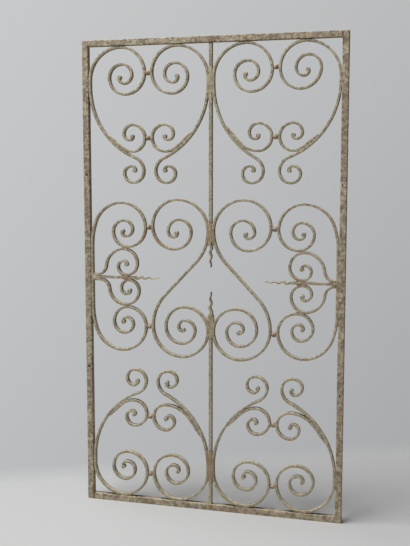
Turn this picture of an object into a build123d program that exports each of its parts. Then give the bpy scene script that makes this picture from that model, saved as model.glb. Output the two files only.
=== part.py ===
from build123d import *
from math import atan, cos, degrees, radians, sin, tan
import os

# Wrought iron grille: a square-bar frame filled with forged scrolls.
# X runs across the grille, Y through its depth (the front faces -Y) and Z up.
# The origin is the middle of the underside.

# Frame
grille_height = 1500.0
grille_width = 844.0
frame_bar = 20.0
frame_depth = 20.0

# Flat bars, set on edge
bar = 8.0
bar_depth = 16.0
centre_bar = 10.0

# Forged balls between neighbouring scrolls, some set above or below the middle of their gap
ball_diameter = 18.0
ball_gap = 16.0
ball_shifts = {"left": (-4.0, 0.0, 0.0, 0.0, 0.0, 0.0), "right": (-8.5, 0.0, -8.0, 0.0, 0.0, 7.0)}

# Rolled tips of the scrolls, and the last tight turn before them
tip_diameter = 13.0
eye_share = 0.62
eye_turn = 100.0

# Fixing holes in the stiles, heights above the underside
hole_diameter = 6.0
sink_diameter = 10.0
left_hole_heights = (449.0, 1077.0)
right_hole_heights = (404.0, 1047.0)

# Heart scrolls: how far they reach from the rail beside them, as a share of the grille's height
heart_reach_share = 0.2607

# Heart scrolls: other sizes, as shares of a panel's width, and turns in degrees
heart_volute_ratio = 0.8
heart_volute_quarters = 7
heart_straight_share = 0.05
heart_foot_bend_share = 0.1134
heart_foot_shares = (0.091, 0.073, 0.058, 0.035)
heart_insets = {
    "upper_left": {"outer": 0.040, "inner": 0.060},
    "upper_right": {"outer": 0.031, "inner": 0.095},
    "lower_left": {"outer": 0.033, "inner": 0.068},
    "lower_right": {"outer": 0.066, "inner": 0.050},
}

# One heart scroll is coiled in half turns instead: radii as shares of a volute's width
odd_heart = ("upper_right", "outer")
odd_volute_shares = (0.57, 0.43, 0.34, 0.34, 0.208, 0.208, 0.132)

# Branch scrolls, lapped on the inner side of the heart scrolls; an even heart sets their height,
# and the lower hearts' branches and balls are a little nearer to the rail
even_inset_share = 0.055
branch_join_share = 0.136
branch_drops = {
    "upper_left": {"outer": 0.0, "inner": 0.0, "ball": 0.0},
    "upper_right": {"outer": 0.0, "inner": 0.0, "ball": 0.0},
    "lower_left": {"outer": 0.012, "inner": 0.033, "ball": 0.03},
    "lower_right": {"outer": 0.028, "inner": 0.01, "ball": 0.026},
}
branch_shares = (0.1083, 0.1033, 0.073, 0.048, 0.028)
lap_turn = 17.0
lap_taper_turn = 7.0
lap_step = 3.0

# S scrolls: shares of a panel's width, the head's of a volute's width, and turns in degrees
s_top_share = 0.63
s_foot_share = 0.635
s_diagonal_turn = 43.5
s_head_shares = (0.537, 0.463, 0.397, 0.301, 0.214, 0.203, 0.104)
s_foot_shrink_share = 0.027
s_foot_quarters = 8

# C scrolls: shares of a panel's width, and turns in degrees
c_end_share = 0.602
c_volute_ratio = 0.775
c_volute_quarters = 7
c_ease_share = 0.605
c_ease_turn = 18.0

# Side spikes and the small scrolls above and below them: shares of a panel's width
spike_drop = 2.0
spike_bar = 8.0
spike_reach_share = 0.579
spike_flame_share = 0.1965
side_top_shares = {
    "left": {"upper": 0.282, "lower": 0.295},
    "right": {"upper": 0.2645, "lower": 0.252},
}
side_rise_share = 0.0806
side_rise_turn = 85.0
side_shoulder_share = 0.116
side_curl_shares = (0.068, 0.048, 0.03)

# Flame points of the centre bars and the spikes
flame_gap = 76.0
upper_flame = 82.0
lower_flame = 74.0
flame_pitch = 27.0
flame_swing = 3.0
flame_tip = 2.0

# Places worked out from the sizes above
middle = grille_height / 2
inner_edge = grille_width / 2 - frame_bar
panel_width = inner_edge - centre_bar / 2
panel_axis = centre_bar / 2 + panel_width / 2
half_panel = panel_width / 2
touch_line = half_panel - bar / 2
ball_line = (ball_gap + bar) / 2
volute_width = touch_line - ball_line
heart_reach = heart_reach_share * grille_height
s_top = s_top_share * panel_width
s_foot = s_foot_share * panel_width
c_end = c_end_share * panel_width


def panel_sizes(shares):
    """Lengths given as shares of a panel's width."""
    return [share * panel_width for share in shares]


def volute_sizes(shares):
    """Radii given as shares of a volute's width; the first two add up to all of it."""
    return [share * volute_width for share in shares]


def volute_radii(ratio, count):
    """Radii of a volute's quarter turns, each a fixed share of the one before.

    The first two turns together reach from the bar's wall or frame to the ball.
    """
    first = volute_width / (1 + ratio)
    return [first * ratio**n for n in range(count)]


def s_foot_radii():
    """Radii of an S scroll's lower volute, each smaller than the one before by the same length."""
    shrink = s_foot_shrink_share * panel_width
    first = (volute_width + shrink) / 2
    return [first - shrink * n for n in range(s_foot_quarters)]


def eye(radii, turn):
    """Last tight turn of a volute, just inside its rolled tip."""
    return ("arc", radii[-1] * eye_share, turn)


def quarters(radii, turn):
    """Quarter-turn steps of a bar's path; turn is 90 for left and -90 for right."""
    return [("arc", radius, turn) for radius in radii]


def walk(start, heading, steps, width, side):
    """One long side of a flat bar, drawn step by step; returns its first and last point."""
    point = Vector(*start)
    tangent = Vector(cos(radians(heading)), sin(radians(heading)))
    point = point + Vector(-tangent.Y, tangent.X) * side * width / 2
    first = point
    for kind, size, turn in steps:
        if kind == "line":
            edge = Line(point, point + tangent * size)
        else:
            inward = 1 if turn > 0 else -1
            edge = JernArc(point, tangent, size - inward * side * width / 2, turn)
        point = edge @ 1
        tangent = edge % 1
    return first, point


def path_end(start, heading, steps):
    """Last point of a bar's centre line and its direction in degrees."""
    x, y = start
    angle = heading
    for kind, size, turn in steps:
        if kind == "line":
            x += size * cos(radians(angle))
            y += size * sin(radians(angle))
            continue
        inward = 1 if turn > 0 else -1
        centre_x = x - inward * size * sin(radians(angle))
        centre_y = y + inward * size * cos(radians(angle))
        angle += turn
        x = centre_x + inward * size * sin(radians(angle))
        y = centre_y - inward * size * cos(radians(angle))
    return x, y, angle


def reversed_path(start, heading, steps):
    """The same path walked from its other end: start point, direction and steps."""
    x, y, angle = path_end(start, heading, steps)
    back = [(kind, size, -turn) for kind, size, turn in reversed(steps)]
    return (x, y), angle + 180, back


def bar_outline(start, heading, steps, width):
    """Outline of a flat bar seen from the front; steps are lines and arcs of its centre line."""
    with BuildLine() as outline:
        left_first, left_last = walk(start, heading, steps, width, 1)
        right_first, right_last = walk(start, heading, steps, width, -1)
        Line(left_first, right_first)
        Line(left_last, right_last)
    return outline.line


def tip_place(start, heading, steps):
    """Middle of the rolled tip at a scroll's end, which bulges into the last turn."""
    x, y, angle = path_end(start, heading, steps)
    inward = 1 if steps[-1][2] > 0 else -1
    shift = inward * (tip_diameter - bar) / 2
    return x - shift * sin(radians(angle)), y + shift * cos(radians(angle))


def scroll(name, plane, path, tips):
    """A flat bar bent along a path, with rolled tips at its end or at both ends."""
    outline = bar_outline(*path, bar)
    ends = [tip_place(*path), tip_place(*reversed_path(*path))][:tips]
    with BuildPart() as piece:
        with BuildSketch(plane):
            make_face(outline)
            with Locations(*ends):
                Circle(tip_diameter / 2)
        extrude(amount=bar_depth / 2, both=True)
    return finish(piece.part, name)


def finish(part, name):
    """Names a piece, writes it and hands it back."""
    part.label = name
    export_step(part, f"parts/{name}.step")
    return part


def front_plane(x, z, across, up):
    """Upright plane whose first axis runs across (1 to the right) and second up (1) or down (-1)."""
    return Plane(origin=(x, 0, z), x_dir=(across, 0, 0), z_dir=(0, -up * across, 0))


def make_frame():
    """Two stiles drilled for fixing screws, and two rails between them."""
    sides = (("left", -1, left_hole_heights), ("right", 1, right_hole_heights))
    for name, side, heights in sides:
        stile_x = side * (grille_width - frame_bar) / 2
        with BuildPart() as stile:
            with Locations((stile_x, 0, middle)):
                Box(frame_bar, frame_depth, grille_height)
            front = Plane(origin=(stile_x, -frame_depth / 2, 0), x_dir=(1, 0, 0), z_dir=(0, -1, 0))
            with Locations(front):
                with Locations(*[(0, height, 0) for height in heights]):
                    CounterSinkHole(hole_diameter / 2, sink_diameter / 2)
        finish(stile.part, f"{name}_stile")
    for name, rail_z in (("top", grille_height - frame_bar / 2), ("bottom", frame_bar / 2)):
        with BuildPart() as rail:
            with Locations((0, 0, rail_z)):
                Box(grille_width - 2 * frame_bar, frame_depth, frame_bar)
        finish(rail.part, f"{name}_rail")


def flame_outline(length, width, flame):
    """Outline of a straight bar along X whose last stretch is a tapering wave of arcs."""
    waves = max(round(2 * flame / flame_pitch), 2)
    wave = flame / waves
    shoulder = length - flame

    with BuildLine() as outline:
        for side in (1, -1):
            point = (shoulder, side * width / 2)
            Line((0, side * width / 2), point)
            for n in range(1, waves + 1):
                share = n / waves
                half = (width + (flame_tip - width) * share) / 2
                following = (shoulder + wave * n, side * half)
                SagittaArc(point, following, flame_swing * (-1) ** n * (1 - share / 2))
                point = following
        Line((0, -width / 2), (0, width / 2))
        Line((length, -flame_tip / 2), (length, flame_tip / 2))
    return outline.line


def flame_bar(name, plane, length, width, flame):
    """A flat bar that ends in a wavy flame point."""
    outline = flame_outline(length, width, flame)
    with BuildPart() as piece:
        with BuildSketch(plane):
            make_face(outline)
        extrude(amount=bar_depth / 2, both=True)
    return finish(piece.part, name)


def make_centre_bars():
    """Bars from the middle of each rail, with their flame points near the grille's middle."""
    length = middle - frame_bar - flame_gap / 2
    upper = Plane(origin=(0, 0, grille_height - frame_bar), x_dir=(0, 0, -1), z_dir=(0, -1, 0))
    lower = Plane(origin=(0, 0, frame_bar), x_dir=(0, 0, 1), z_dir=(0, -1, 0))
    flame_bar("upper_centre_bar", upper, length, centre_bar, upper_flame)
    flame_bar("lower_centre_bar", lower, length, centre_bar, lower_flame)


def heart_head():
    """Radii of the volute of every heart scroll but the odd one."""
    return volute_radii(heart_volute_ratio, heart_volute_quarters)


def heart_bend_start():
    """How far from the rail a heart scroll leaves the upright bar that it touches."""
    return bar / 2 + heart_head()[0] + heart_straight_share * panel_width


def heart_path(head, inset_share):
    """Centre line of a heart scroll, from the volute's eye to the reverse scroll's eye.

    x is measured out from the heart's middle line and y from the rail towards the grille's middle.
    """
    contact = bar / 2 + head[0]
    volute = quarters(head, -90) + [eye(head, -eye_turn)]
    start, heading, curl = reversed_path((touch_line, contact), -90, volute)

    # one bend between two upright tangents, then the reverse scroll
    foot_bend = heart_foot_bend_share * panel_width
    across = touch_line - inset_share * panel_width
    along = heart_reach - heart_bend_start()
    turn = degrees(2 * atan(across / along))
    bend = along / sin(radians(turn)) - foot_bend
    run = [("line", heart_bend_start() - contact, 0), ("arc", bend, turn), ("arc", foot_bend, -turn)]
    return (start, heading, curl + run + quarters(panel_sizes(heart_foot_shares), -90)), bend


def neck_height(drop_share):
    """How far from the rail two branches of a heart come closest, or their ball is."""
    ring = branch_shares[0] * panel_width
    joining = branch_join_share * panel_width
    bend = heart_path(heart_head(), even_inset_share)[1]
    reach = bend - bar - joining
    away = ball_line + ring - touch_line + bend
    crest = heart_bend_start() + joining + (reach**2 - away**2) ** 0.5
    return crest - ring - drop_share * panel_width


def branch_path(bend, neck):
    """Centre line of a branch scroll, from its scarfed start on the heart scroll to its eye."""
    radii = panel_sizes(branch_shares)
    centre_x = touch_line - bend
    centre_y = heart_bend_start()
    lap = bend - bar
    away_x = ball_line + radii[0] - centre_x
    away_y = neck + radii[0] - centre_y
    joining = (lap**2 - away_x**2 - away_y**2) / (2 * (lap - away_y))
    leave = degrees(atan((away_y - joining) / away_x))
    first = leave - lap_turn
    start = (centre_x + lap * cos(radians(first)), centre_y + lap * sin(radians(first)))
    steps = [("arc", lap, lap_turn), ("arc", joining, 90 - leave)]
    return start, first + 90, steps + quarters(radii, 90)


def s_path():
    """Centre line of an S scroll; x runs out from the centre bar's face and y up from the middle."""
    head = volute_sizes(s_head_shares)
    contact = s_top - head[0]
    volute = quarters(head, -90) + [eye(head, -eye_turn)]
    start, heading, curl = reversed_path((bar / 2, contact), 90, volute)

    # a diagonal between two like bends
    foot = s_foot_radii()
    drop = contact + s_foot - foot[0]
    slope = radians(s_diagonal_turn)
    bend = (drop - volute_width / tan(slope)) / 2 / (sin(slope) - (1 - cos(slope)) / tan(slope))
    diagonal = (volute_width - 2 * bend * (1 - cos(slope))) / sin(slope)
    run = [("arc", bend, s_diagonal_turn), ("line", diagonal, 0), ("arc", bend, -s_diagonal_turn)]
    return start, heading, curl + run + quarters(foot, -90) + [eye(foot, -eye_turn)]


def c_path():
    """Centre line of a C scroll; x runs in from the stile and y up from the middle."""
    radii = volute_radii(c_volute_ratio, c_volute_quarters)
    turn = radians(c_ease_turn)
    ease = c_ease_share * panel_width
    corner = (radii[0] - ease * (1 - cos(turn))) / cos(turn)
    contact = c_end - ease * sin(turn) - corner * (1 - sin(turn))
    volute = [("arc", ease, c_ease_turn), ("arc", corner, 90 - c_ease_turn)]
    volute = volute + quarters(radii[1:], 90) + [eye(radii, eye_turn)]
    mirrored = [(kind, size, -turn) for kind, size, turn in volute]
    start, heading, curl = reversed_path((bar / 2, contact), 90, mirrored)
    return start, heading, curl + [("line", 2 * contact, 0)] + volute


def side_path(up, top_share):
    """Centre line of a small side scroll; x runs in from the stile and y away from the spike.

    It rises from the spike's root, touches the C scroll's volute and comes back to the spike.
    """
    radii = volute_radii(c_volute_ratio, c_volute_quarters)
    top_x = top_share * panel_width
    shoulder = side_shoulder_share * panel_width
    root_bend = side_rise_share * panel_width
    floor = (spike_bar + bar) / 2
    ring_x = bar / 2 + volute_width - radii[2]
    ring_y = c_end + up * spike_drop - radii[1] - radii[2] + radii[3]
    reach = radii[3] + shoulder + bar
    top = ring_y - (reach**2 - (ring_x - top_x) ** 2) ** 0.5 + shoulder
    rise = top - floor
    turn = radians(side_rise_turn)
    crown = rise / (1 - cos(turn)) - root_bend
    steps = [
        ("line", top_x - bar - rise / tan(turn / 2), 0),
        ("arc", root_bend, side_rise_turn),
        ("arc", crown, -side_rise_turn),
    ]
    curl = [shoulder, rise - shoulder] + panel_sizes(side_curl_shares)
    return (bar, floor), 0, steps + quarters(curl, -90)


def make_hearts():
    """Eight heart scrolls and their branches, two halves to each of the four hearts."""
    corners = [
        (level, side, out, rail + up * frame_bar, up)
        for level, rail, up in (("upper", grille_height, -1), ("lower", 0, 1))
        for side, out in (("left", -1), ("right", 1))
    ]
    pieces = []
    for level, side, out, z, up in corners:
        corner = f"{level}_{side}"
        for half, across in (("outer", out), ("inner", -out)):
            head = heart_head()
            if (corner, half) == odd_heart:
                head = volute_sizes(odd_volute_shares)
            path, bend = heart_path(head, heart_insets[corner][half])
            plane = front_plane(out * panel_axis, z, across, up)
            pieces.append(scroll(f"{corner}_heart_{half}_scroll", plane, path, 2))
            neck = neck_height(branch_drops[corner][half])
            pieces.append(branch(f"{corner}_heart_{half}_branch", plane, bend, neck))
    return pieces


def branch(name, plane, bend, neck):
    """A branch scroll, scarfed thin where it starts on the heart scroll."""
    path = branch_path(bend, neck)
    outline = bar_outline(*path, bar)
    centre = Vector(touch_line - bend, heart_bend_start())
    inner = bend - 1.5 * bar
    first = path[1] - 90

    def spoke(radius, angle):
        """A point of the lap, by its distance from the bend's centre and its angle."""
        return centre + Vector(cos(radians(angle)), sin(radians(angle))) * radius

    with BuildPart() as piece:
        with BuildSketch(plane):
            make_face(outline)
            with Locations(tip_place(*path)):
                Circle(tip_diameter / 2)
            with BuildLine():
                Polyline(
                    spoke(inner - lap_step, first),
                    spoke(bend - bar / 2 - lap_step, first),
                    spoke(inner, first + lap_taper_turn),
                    close=True,
                )
            make_face(mode=Mode.SUBTRACT)
        extrude(amount=bar_depth / 2, both=True)
    return finish(piece.part, name)


def make_middle():
    """S scrolls, C scrolls, side spikes and side scrolls of both panels."""
    pieces = []
    for side, out in (("left", -1), ("right", 1)):
        s_plane = front_plane(out * centre_bar / 2, middle, out, 1)
        c_plane = front_plane(out * inner_edge, middle, -out, 1)
        pieces.append(scroll(f"{side}_s_scroll", s_plane, s_path(), 2))
        pieces.append(scroll(f"{side}_c_scroll", c_plane, c_path(), 2))
        root = front_plane(out * (inner_edge - bar), middle - spike_drop, -out, 1)
        length = spike_reach_share * panel_width - bar
        pieces.append(flame_bar(f"{side}_spike", root, length, spike_bar, spike_flame_share * panel_width))
        for level, up in (("upper", 1), ("lower", -1)):
            plane = front_plane(out * inner_edge, middle - spike_drop, -out, up)
            path = side_path(up, side_top_shares[side][level])
            pieces.append(scroll(f"{side}_{level}_side_scroll", plane, path, 1))
    return pieces


def seated_ball(place, bars):
    """One ball, cut to sit against the bars that it meets."""
    near = [piece for piece in bars if piece.distance_to(place) < ball_diameter]
    with BuildPart() as ball:
        with Locations(place):
            Sphere(ball_diameter / 2, rotation=(0, 0, 90))
        add(near, mode=Mode.SUBTRACT)
    return ball.part


def make_balls(bars):
    """Twelve balls on the panels' middle lines, seated against the bars on either side."""
    heart = frame_bar + bar / 2 + heart_head()[1]
    s_head = s_top - volute_sizes(s_head_shares)[1]
    s_low = s_foot - s_foot_radii()[0]
    c_side = c_end - volute_radii(c_volute_ratio, c_volute_quarters)[1]
    places = []
    for side, out in (("left", -1), ("right", 1)):
        heights = (
            heart,
            frame_bar + neck_height(branch_drops[f"lower_{side}"]["ball"]),
            middle - (s_low + c_side) / 2,
            middle + (s_head + c_side) / 2,
            grille_height - frame_bar - neck_height(branch_drops[f"upper_{side}"]["ball"]),
            grille_height - heart,
        )
        for height, shift in zip(heights, ball_shifts[side]):
            places.append(Vector(out * panel_axis, 0, height + shift))
    with BuildPart() as balls:
        add([seated_ball(place, bars) for place in places])
    return finish(balls.part, "ball_spacers")


os.makedirs("parts", exist_ok=True)
make_frame()
make_centre_bars()
make_balls(make_hearts() + make_middle())
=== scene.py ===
from math import cos, pi, radians, sin

import bmesh
import bpy
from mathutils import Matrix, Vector, noise


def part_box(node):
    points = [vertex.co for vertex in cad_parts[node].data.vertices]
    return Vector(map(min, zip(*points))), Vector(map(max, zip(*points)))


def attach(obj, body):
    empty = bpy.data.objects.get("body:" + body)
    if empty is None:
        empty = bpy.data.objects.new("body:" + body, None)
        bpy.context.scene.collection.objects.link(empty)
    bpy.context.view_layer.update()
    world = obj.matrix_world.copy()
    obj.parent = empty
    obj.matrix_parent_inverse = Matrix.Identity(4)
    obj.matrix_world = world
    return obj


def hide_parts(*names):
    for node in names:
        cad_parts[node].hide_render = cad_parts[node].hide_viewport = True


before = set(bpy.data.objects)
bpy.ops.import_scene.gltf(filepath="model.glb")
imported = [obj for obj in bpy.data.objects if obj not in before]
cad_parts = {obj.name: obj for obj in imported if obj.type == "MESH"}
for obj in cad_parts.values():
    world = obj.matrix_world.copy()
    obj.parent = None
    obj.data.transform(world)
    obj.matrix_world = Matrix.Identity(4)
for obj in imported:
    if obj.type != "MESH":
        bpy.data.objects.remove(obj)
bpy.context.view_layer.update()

# Sizes are in metres, in the grille's own frame: X across, Y through its depth, Z up

# Worn bars: how far their rims are rounded, how deep the wear goes, and its swellings to a metre
FRAME_ROUND = 0.0016
SCROLL_ROUND = 0.0013
POINT_ROUND = 0.0006
FRAME_WEAR = 0.0006
SCROLL_WEAR = 0.00035
FRAME_SWELLINGS = 120
SCROLL_SWELLINGS = 90

# Wear: its middle depth as a share of the deepest, what broad and fine swellings add to that,
# and how many fine ones there are to a broad one
MIDDLE_WEAR = 0.5
BROAD_WEAR = 0.35
FINE_WEAR = 0.25
FINE_TO_BROAD = 3.7

# Meshes: distances between cuts along X, Y and Z, where 0 is no cut, and along a rim
FRAME_STEPS = (0.005, 0.005, 0.005)
SCROLL_STEPS = (0.014, 0, 0.014)
RIM_STEP = 0.005
RIM_SEGMENTS = 2
RIM_PROFILE = 0.6

# Angles between faces: over RIM_ANGLE a rim is rounded, over SHARP_ANGLE the shading breaks,
# and under FLAT_ANGLE the faces lie in one plane
RIM_ANGLE = radians(40)
SHARP_ANGLE = radians(55)
FLAT_ANGLE = radians(0.5)

# An edge is straight where this share of its length lies along one axis
STRAIGHT = 0.999

# Distances within which two points are one, and within which a point lies on a bar's box
SAME_POINT = 1e-6
ON_BOX = 1e-5

# Balls: their distance from the middle, half their height, width and depth, and the least gap
# between one and the next
PANEL_AXIS = 0.2035
HALF_BALL = (0.0088, 0.0094, 0.0088)
BALL_GAP = 0.02

# Welds along the centre bars: the middle of each and half its height, and for all of them
# the distance from the middle, and half their width and depth
CENTRE_WELDS = ((1.355, 0.047), (0.893, 0.036), (0.600, 0.040), (0.143, 0.050))
WELD_LINE = 0.0068
HALF_WELD = (0.0042, 0.0081)

# Lumps where the small side scrolls meet the spikes, and where they gather at the stiles:
# their places across and up, and half their length, height and depth
SPIKE_LUMPS = ((-0.283, 0.748), (0.283, 0.748))
HALF_SPIKE_LUMP = (0.0150, 0.0078, 0.0086)
GATHERS = ((-0.389, 0.747), (0.391, 0.747))
HALF_GATHER = (0.0100, 0.0090, 0.0086)

# Balls, welds and lumps: how uneven, how full, where 1 is round and 0.5 boxy, and rings and sides
BALL_FORM = (0.06, 1.0, 20, 28)
WELD_FORM = (0.05, 0.45, 36, 32)
LUMP_FORM = (0.12, 0.7, 24, 28)
FIRST_LUMP_SEED = 7

# Their dents: how close together broad and fine ones are, and how strong the fine ones are
BROAD_DENTS = 1.6
FINE_DENTS = 4.5
FINE_DENT_SHARE = 0.5

# Noise in the old paint: features to a metre, levels of detail, the strength of the fine levels,
# and a shift that sets each layer apart from the others
BLUSHES = (11, 3, 0.6, 0)
PATCHES = (105, 6, 0.62, 3.1)
FLAKES = (300, 5, 0.7, 7.7)
PITS = (460, 4, 0.7, 5.3)
SPECKS = (800, 3, 0.6, 1.9)

# Where in the noise each layer starts and where it is full
BLUSH_EDGE = (0.4, 0.62)
WORN_EDGE = (0.72, 0.50)
SPECK_EDGE = (0.58, 0.72)
PIT_EDGE = (0.58, 0.72)
RUST_EDGE = (0.25, 0.6)
CREAM_EDGE = (0.3, 0.5)

# How much the flakes break up the edges of the patches, and how far the share gone moves them
FLAKES_IN_PATCHES = 0.5
EDGE_MOVE = 0.3

# Old paint: the iron under it, the paint, its warmer blush, the share gone, and its light specks
FRAME_FINISH = ((0.21, 0.155, 0.105), (0.57, 0.50, 0.36), (0.48, 0.39, 0.28), 0.50, 0.7)
SCROLL_FINISH = ((0.27, 0.225, 0.155), (0.54, 0.49, 0.35), (0.46, 0.40, 0.28), 0.42, 0.35)
BALL_FINISH = ((0.25, 0.175, 0.13), (0.51, 0.42, 0.33), (0.44, 0.34, 0.27), 0.45, 0.3)
RUST = (0.26, 0.125, 0.055)
BARE_PAINT = (0.80, 0.72, 0.52)

# How much lighter specks are than the paint, how much darker pits are than the iron,
# and how strong the pits are
SPECK_LIGHT = 1.45
PIT_DARK = 0.4
PIT_SHARE = 0.7

# Gloss of the paint, and its relief: the height, the strength and what each layer adds
SMOOTH_ROUGHNESS = 0.62
DULL_ROUGHNESS = 0.85
GLOSS = 0.3
RELIEF_HEIGHT = 0.0006
RELIEF_STRENGTH = 0.7
FLAKE_RELIEF = 0.6
SPECK_RELIEF = 0.4
WORN_RELIEF = -0.25

# Places with more rust, a dark spot among them, or with bare bright paint: centre, reach and strength
RUSTY_PLACES = (
    ((0, 0, 0.145), 0.060, 0.75),
    ((0, 0, 0.895), 0.050, 0.35),
    ((0, 0, 0.600), 0.045, 0.25),
    # A dark rust-coloured spot on the bottom rail's front, under the centre bar
    ((0.003, -0.01, 0.012), 0.009, 1.0),
    ((0, -0.01, 1.490), 0.009, 0.7),
    ((-0.283, 0, 0.748), 0.028, 0.6),
    ((0.283, 0, 0.748), 0.028, 0.5),
    ((0.391, 0, 0.747), 0.022, 0.5),
    ((-0.186, 0, 0.875), 0.050, 0.6),
)
PALE_PLACES = (
    ((-0.390, 0, 0.748), 0.012, 1.0),
    ((-0.222, 0, 0.585), 0.010, 0.5),
)

# Floor: its colour, and where it starts and stops fading, all round and behind the grille
HALF_FLOOR = 6.0
FLOOR = (0.42, 0.425, 0.42, 1)
FLOOR_ROUGHNESS = 0.8
FADE_ROUND = (2.2, 3.2)
BEHIND = (-0.468, 0.884, 0)
FADE_BEHIND = (0.38, 0.56)

# Backdrop with painted shade: its corners' colours, and the directions across and upwards between which
# they change
HIGH_LEFT = (0.578, 0.584, 0.590)
HIGH_RIGHT = (0.491, 0.497, 0.503)
LOW_LEFT = (0.503, 0.509, 0.521)
LOW_RIGHT = (0.397, 0.402, 0.413)
CHANGE_ACROSS = (-0.47, -0.05)
CHANGE_UPWARDS = (-0.30, 0.18)

# Light from all round, light from above, and camera
FAINT_LIGHT = (0.10, 0.10, 0.105)
LIGHT_PLACE = (-1.30, -1.10, 5.2)
LIGHT_TARGET = (0, 0, 0.75)
LIGHT_SIZE = 3.0
LIGHT_POWER = 430
CAMERA_PLACE = (0.7269, -2.7115, 1.0896)
CAMERA_TURN = (radians(83.52), 0, radians(15.38))
CAMERA_LENS = 59.206
CAMERA_SENSOR = 36


# Meshes

def cut_up(form, steps):
    """Cuts a mesh by planes across each axis that has a step, so that no face is long and thin."""
    for axis, step in enumerate(steps):
        if not step:
            continue
        across = Vector((axis == 0, axis == 1, axis == 2))
        places = [vertex.co[axis] for vertex in form.verts]
        place = min(places) + step
        while place < max(places) - step / 2:
            whole = form.verts[:] + form.edges[:] + form.faces[:]
            point = across * place
            bmesh.ops.bisect_plane(form, geom=whole, plane_co=point, plane_no=across, dist=SAME_POINT)
            place += step


def split_long(form, edges, step):
    """Cuts each edge that is longer than a step into equal lengths of a step or less."""
    groups = {}
    for edge in edges:
        cuts = int(edge.calc_length() / step)
        if cuts:
            groups.setdefault(cuts, []).append(edge)
    for cuts, group in sorted(groups.items()):
        bmesh.ops.subdivide_edges(form, edges=group, cuts=cuts)


def drop_diagonals(form):
    """Takes away slanting edges that lie inside a flat face."""
    slanting = []
    for edge in form.edges:
        run = edge.verts[0].co - edge.verts[1].co
        straight = max(abs(part) for part in run) > STRAIGHT * run.length
        if not straight and edge.calc_face_angle(1) < FLAT_ANGLE:
            slanting.append(edge)
    bmesh.ops.dissolve_edges(form, edges=slanting, use_verts=True)


def on_rim(edge, box):
    """True where an edge runs along an outer edge of a square bar, and so not round a hole."""
    shared = 0
    for corner in box:
        for axis in range(3):
            shared += all(abs(vertex.co[axis] - corner[axis]) < ON_BOX for vertex in edge.verts)
    return shared >= 2


def find_rims(form, box):
    """The edges to round: a square bar's outer edges, or every sharp edge where no box is given."""
    if box:
        return [edge for edge in form.edges if on_rim(edge, box)]
    return [edge for edge in form.edges if edge.calc_face_angle(0) > RIM_ANGLE]


def worn(form, depth, swellings):
    """Pulls the surface in unevenly, as hammering and rust leave it."""
    form.normal_update()
    for vertex in form.verts:
        place = vertex.co * swellings
        broad = noise.noise(place)
        fine = noise.noise(place * FINE_TO_BROAD)
        share = MIDDLE_WEAR + BROAD_WEAR * broad + FINE_WEAR * fine
        vertex.co -= vertex.normal * depth * min(max(share, 0), 1)


def keep_inside(form, box):
    """Brings back any point of a worn corner that lies outside its bar's box."""
    low, high = box
    for vertex in form.verts:
        for axis in range(3):
            vertex.co[axis] = min(max(vertex.co[axis], low[axis]), high[axis])


def squared(value, fullness):
    """A sine or cosine drawn out to a fuller curve."""
    return abs(value) ** fullness * (1 if value > 0 else -1)


def lump(form, centre, axis, sizes, seed, rough, fullness, rings, sides):
    """Adds an uneven lump: sizes are half its length along the axis, its width and its depth."""
    along = Vector(axis).normalized()
    back = Vector((0, 1, 0))
    across = back.cross(along).normalized()
    rows = []
    for ring in range(rings + 1):
        polar = pi * ring / rings
        count = 1 if ring in (0, rings) else sides
        row = []
        for side in range(count):
            turn = 2 * pi * side / sides
            unit = along * cos(polar) + (across * cos(turn) + back * sin(turn)) * sin(polar)
            swell = 1 + rough * noise.noise(unit * BROAD_DENTS + Vector((seed, 0, 0)))
            swell += rough * FINE_DENT_SHARE * noise.noise(unit * FINE_DENTS + Vector((0, seed, 0)))
            girth = squared(sin(polar), fullness)
            reach = along * cos(polar) * sizes[0]
            reach += across * squared(cos(turn), fullness) * girth * sizes[1]
            reach += back * squared(sin(turn), fullness) * girth * sizes[2]
            row.append(form.verts.new(Vector(centre) + reach * swell))
        rows.append(row)
    close_rows(form, rows, sides)


def close_rows(form, rows, sides):
    """Joins rings of points by faces; a row of one point closes an end."""
    for upper, lower in zip(rows, rows[1:]):
        for side in range(sides):
            following = (side + 1) % sides
            corners = [upper[side % len(upper)], upper[following % len(upper)]]
            corners += [lower[following % len(lower)], lower[side % len(lower)]]
            form.faces.new(list(dict.fromkeys(corners)))


def mark_places(mesh, name, places):
    """Writes how strongly nearby places mark each point of a mesh: fully in half their reach."""
    marks = mesh.attributes.new(name, "FLOAT", "POINT")
    for vertex in mesh.vertices:
        amount = 0
        for centre, reach, strength in places:
            near = 1 - (vertex.co - Vector(centre)).length / reach
            amount = max(amount, min(near * 2, 1) * strength)
        marks.data[vertex.index].value = max(amount, 0)


def make_piece(form, mesh, name, material, nodes=()):
    """Turns a form into a piece that rides on the grille and stands for the given nodes."""
    for face in form.faces:
        face.smooth = True
        face.material_index = 0
    form.to_mesh(mesh)
    form.free()
    mesh.name = name
    mesh.materials.clear()
    mesh.materials.append(material)
    piece = bpy.data.objects.new(name, mesh)
    bpy.context.scene.collection.objects.link(piece)
    mesh.set_sharp_from_angle(angle=SHARP_ANGLE)
    even = piece.modifiers.new("even_shading", "WEIGHTED_NORMAL")
    even.keep_sharp = True
    mark_places(mesh, "rust", RUSTY_PLACES)
    mark_places(mesh, "pale", PALE_PLACES)
    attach(piece, "root")
    if nodes:
        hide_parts(*nodes)


# Shader nodes

def shader(name):
    """An empty node material and its tree."""
    material = bpy.data.materials.new(name)
    material.use_nodes = True
    tree = material.node_tree
    tree.nodes.clear()
    return material, tree


def add_node(tree, kind, inputs=(), **settings):
    """A node with its settings and inputs; an input is a value or another node's output."""
    made = tree.nodes.new(kind)
    for key, value in settings.items():
        setattr(made, key, value)
    for key, value in dict(inputs).items():
        if isinstance(value, bpy.types.NodeSocket):
            tree.links.new(value, made.inputs[key])
        else:
            made.inputs[key].default_value = value
    return made


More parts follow.
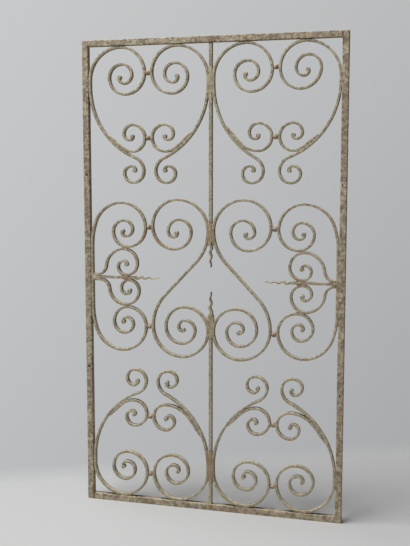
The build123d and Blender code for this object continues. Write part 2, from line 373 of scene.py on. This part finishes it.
def grain(tree, place, scale, detail, rough, offset):
    """Fractal noise from 0 to 1, with features of about one over its scale in metres."""
    moved = add_node(tree, "ShaderNodeVectorMath", {0: place, 1: (offset, offset, offset)})
    settings = {"Vector": moved.outputs[0], "Scale": scale, "Detail": detail, "Roughness": rough}
    return add_node(tree, "ShaderNodeTexNoise", settings).outputs["Fac"]


def between(tree, value, low, high):
    """Stretches a value so that low becomes 0 and high 1."""
    inputs = {"Value": value, "From Min": low, "From Max": high}
    return add_node(tree, "ShaderNodeMapRange", inputs).outputs["Result"]


def blend(tree, share, first, second):
    """Mixes two colours, each a node's output or red, green and blue."""
    inputs = {0: share, 6: first, 7: second}
    for key in (6, 7):
        if not isinstance(inputs[key], bpy.types.NodeSocket):
            inputs[key] = (*inputs[key], 1)
    return add_node(tree, "ShaderNodeMix", inputs, data_type="RGBA", blend_type="MIX").outputs[2]


def combine(tree, first, second, operation):
    """Arithmetic on two values."""
    return add_node(tree, "ShaderNodeMath", {0: first, 1: second}, operation=operation).outputs[0]


def mark(tree, name):
    """How strongly each point of a piece is marked under a name."""
    return add_node(tree, "ShaderNodeAttribute", attribute_name=name).outputs["Fac"]


def finish_material(tree, surface):
    """Sends a shader to the material's output."""
    out = add_node(tree, "ShaderNodeOutputMaterial")
    tree.links.new(surface, out.inputs[0])


# Materials

def patina(name, iron, paint, blush, bare, speckle):
    """Old paint over brown iron, worn in patches, with rust and bare paint at the marked places."""
    material, tree = shader(name)
    place = add_node(tree, "ShaderNodeTexCoord").outputs["Object"]
    patches = grain(tree, place, *PATCHES)
    flakes = grain(tree, place, *FLAKES)
    specks = grain(tree, place, *SPECKS)

    blushes = between(tree, grain(tree, place, *BLUSHES), *BLUSH_EDGE)
    worn_paint = blend(tree, blushes, paint, blush)
    broken = combine(tree, flakes, FLAKES_IN_PATCHES, "MULTIPLY")
    uneven = combine(tree, patches, broken, "ADD")
    gone = between(tree, uneven, *(edge + EDGE_MOVE * bare for edge in WORN_EDGE))
    colour = blend(tree, gone, worn_paint, iron)

    light = combine(tree, between(tree, specks, *SPECK_EDGE), speckle, "MULTIPLY")
    colour = blend(tree, light, colour, tuple(SPECK_LIGHT * part for part in paint))
    pits = between(tree, grain(tree, place, *PITS), *PIT_EDGE)
    dark = combine(tree, pits, PIT_SHARE, "MULTIPLY")
    colour = blend(tree, dark, colour, tuple(PIT_DARK * part for part in iron))

    orange = combine(tree, mark(tree, "rust"), between(tree, flakes, *RUST_EDGE), "MULTIPLY")
    colour = blend(tree, orange, colour, RUST)
    cream = combine(tree, mark(tree, "pale"), between(tree, flakes, *CREAM_EDGE), "MULTIPLY")
    colour = blend(tree, cream, colour, BARE_PAINT)

    inputs = {
        "Base Color": colour,
        "Roughness": uneven_roughness(tree, patches),
        "Metallic": 0.0,
        "Normal": relief(tree, flakes, specks, gone),
        "Specular IOR Level": GLOSS,
    }
    finish_material(tree, add_node(tree, "ShaderNodeBsdfPrincipled", inputs).outputs[0])
    return material


def uneven_roughness(tree, patches):
    """Roughness that falls a little as the noise of the patches rises."""
    inputs = {"Value": patches, "To Min": DULL_ROUGHNESS, "To Max": SMOOTH_ROUGHNESS}
    return add_node(tree, "ShaderNodeMapRange", inputs).outputs["Result"]


def relief(tree, flakes, specks, gone):
    """Small relief of flakes and specks, lower where the paint has gone."""
    height = combine(tree, flakes, FLAKE_RELIEF, "MULTIPLY")
    height = combine(tree, height, combine(tree, specks, SPECK_RELIEF, "MULTIPLY"), "ADD")
    height = combine(tree, height, combine(tree, gone, WORN_RELIEF, "MULTIPLY"), "ADD")
    inputs = {"Height": height, "Strength": RELIEF_STRENGTH, "Distance": RELIEF_HEIGHT}
    return add_node(tree, "ShaderNodeBump", inputs).outputs[0]


# Grille

def forged(node, material, rim, depth, swellings, box=None):
    """Stands for a bar of the grille: the same shape with worn rims and a hammered surface."""
    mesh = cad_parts[node].data.copy()
    form = bmesh.new()
    form.from_mesh(mesh)
    bmesh.ops.remove_doubles(form, verts=form.verts, dist=SAME_POINT)
    if box:
        bmesh.ops.dissolve_limit(form, angle_limit=FLAT_ANGLE, verts=form.verts, edges=form.edges)
        cut_up(form, FRAME_STEPS)
        drop_diagonals(form)
    else:
        split_long(form, find_rims(form, box), RIM_STEP)
    rims = find_rims(form, box)
    bmesh.ops.bevel(form, geom=rims, offset=rim, segments=RIM_SEGMENTS, profile=RIM_PROFILE, affect="EDGES")
    if not box:
        cut_up(form, SCROLL_STEPS)
    bmesh.ops.triangulate(form, faces=form.faces)
    bmesh.ops.recalc_face_normals(form, faces=form.faces)
    worn(form, depth, swellings)
    if box:
        keep_inside(form, box)
    make_piece(form, mesh, node + "_iron", material, [node])


def build_bars(frame_patina, scroll_patina):
    """Every bar of the frame and the scrolls."""
    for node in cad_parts:
        if node == "ball_spacers":
            continue
        if node.endswith(("stile", "rail")):
            box = [tuple(corner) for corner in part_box(node)]
            forged(node, frame_patina, FRAME_ROUND, FRAME_WEAR, FRAME_SWELLINGS, box)
            continue
        rim = POINT_ROUND if node.endswith(("bar", "spike")) else SCROLL_ROUND
        forged(node, scroll_patina, rim, SCROLL_WEAR, SCROLL_SWELLINGS)


def find_balls():
    """The side, lowest and highest point of each ball, read from the points of the balls' node."""
    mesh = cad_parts["ball_spacers"].data
    points = sorted((vertex.co.copy() for vertex in mesh.vertices), key=lambda point: point.z)
    balls = []
    for point in points:
        side = 1 if point.x > 0 else -1
        for ball in balls:
            if ball[0] == side and point.z - ball[2] < BALL_GAP:
                ball[2] = max(ball[2], point.z)
                break
        else:
            balls.append([side, point.z, point.z])
    return balls


def build_balls(material):
    """The twelve forged balls, each a little uneven."""
    mesh = bpy.data.meshes.new("forged_balls")
    form = bmesh.new()
    for n, (side, low, high) in enumerate(find_balls()):
        centre = (side * PANEL_AXIS, 0, (low + high) / 2)
        lump(form, centre, (0, 0, 1), HALF_BALL, n, *BALL_FORM)
    make_piece(form, mesh, "forged_balls", material, ["ball_spacers"])


def build_welds(material):
    """Filled seams where the scrolls meet the centre bars, and lumps where the side scrolls meet."""
    mesh = bpy.data.meshes.new("weld_fills")
    form = bmesh.new()
    for n, (height, half) in enumerate(CENTRE_WELDS):
        for side in (-1, 1):
            centre = (side * WELD_LINE, 0, height)
            lump(form, centre, (0, 0, 1), (half, *HALF_WELD), n + side, *WELD_FORM)
    for places, sizes in ((SPIKE_LUMPS, HALF_SPIKE_LUMP), (GATHERS, HALF_GATHER)):
        for n, (x, z) in enumerate(places):
            lump(form, (x, 0, z), (1, 0, 0), sizes, n + FIRST_LUMP_SEED, *LUMP_FORM)
    make_piece(form, mesh, "weld_fills", material)


# Floor, backdrop, light and camera

def build_floor():
    """A pale floor that fades into the backdrop, a little behind the grille and far off in front."""
    corners = [(-1, -1), (1, -1), (1, 1), (-1, 1)]
    mesh = bpy.data.meshes.new("floor")
    mesh.from_pydata([(x * HALF_FLOOR, y * HALF_FLOOR, 0) for x, y in corners], [], [(0, 1, 2, 3)])
    floor = bpy.data.objects.new("floor", mesh)
    bpy.context.scene.collection.objects.link(floor)
    material, tree = shader("pale_floor")
    place = add_node(tree, "ShaderNodeTexCoord").outputs["Object"]
    away = add_node(tree, "ShaderNodeVectorMath", {0: place}, operation="LENGTH").outputs["Value"]
    behind = add_node(tree, "ShaderNodeVectorMath", {0: place, 1: BEHIND}, operation="DOT_PRODUCT")
    behind = between(tree, behind.outputs["Value"], *FADE_BEHIND)
    fade = combine(tree, between(tree, away, *FADE_ROUND), behind, "MAXIMUM")
    ground = add_node(tree, "ShaderNodeBsdfPrincipled", {"Base Color": FLOOR, "Roughness": FLOOR_ROUGHNESS})
    clear = add_node(tree, "ShaderNodeBsdfTransparent")
    inputs = {0: fade, 1: ground.outputs[0], 2: clear.outputs[0]}
    finish_material(tree, add_node(tree, "ShaderNodeMixShader", inputs).outputs[0])
    mesh.materials.append(material)


def build_backdrop():
    """A plain grey backdrop with painted shade, a little darker to the right and low down, and faint light
    all round.
    """
    world = bpy.data.worlds.new("studio")
    bpy.context.scene.world = world
    world.use_nodes = True
    tree = world.node_tree
    view = add_node(tree, "ShaderNodeTexCoord").outputs["Generated"]
    parts = add_node(tree, "ShaderNodeSeparateXYZ", {0: view})
    across = between(tree, parts.outputs["X"], *CHANGE_ACROSS)
    upwards = between(tree, parts.outputs["Z"], *CHANGE_UPWARDS)
    low = blend(tree, across, LOW_LEFT, LOW_RIGHT)
    high = blend(tree, across, HIGH_LEFT, HIGH_RIGHT)
    # Painted shade: the backdrop the camera sees darkens to the right and low down
    backdrop_with_painted_shade = blend(tree, upwards, low, high)
    direct = add_node(tree, "ShaderNodeLightPath").outputs["Is Camera Ray"]
    colour = blend(tree, direct, FAINT_LIGHT, backdrop_with_painted_shade)
    tree.links.new(colour, tree.nodes["Background"].inputs[0])


def build_light():
    """One soft square light, high up in front and to the left."""
    data = bpy.data.lights.new("key", "AREA")
    data.size = LIGHT_SIZE
    data.energy = LIGHT_POWER
    light = bpy.data.objects.new("key", data)
    light.location = LIGHT_PLACE
    aim = Vector(LIGHT_TARGET) - Vector(LIGHT_PLACE)
    light.rotation_euler = aim.to_track_quat("-Z", "Y").to_euler()
    bpy.context.scene.collection.objects.link(light)


def build_camera():
    """The camera, at the height and angle of the photograph."""
    data = bpy.data.cameras.new("camera")
    data.sensor_width = CAMERA_SENSOR
    data.lens = CAMERA_LENS
    camera = bpy.data.objects.new("camera", data)
    camera.location = CAMERA_PLACE
    camera.rotation_euler = CAMERA_TURN
    bpy.context.scene.collection.objects.link(camera)
    bpy.context.scene.camera = camera


# Build

frame_patina = patina("frame_patina", *FRAME_FINISH)
scroll_patina = patina("scroll_patina", *SCROLL_FINISH)
ball_patina = patina("ball_patina", *BALL_FINISH)
build_bars(frame_patina, scroll_patina)
build_balls(ball_patina)
build_welds(scroll_patina)
build_floor()
build_backdrop()
build_light()
build_camera()
bpy.context.scene.view_settings.view_transform = "Standard"
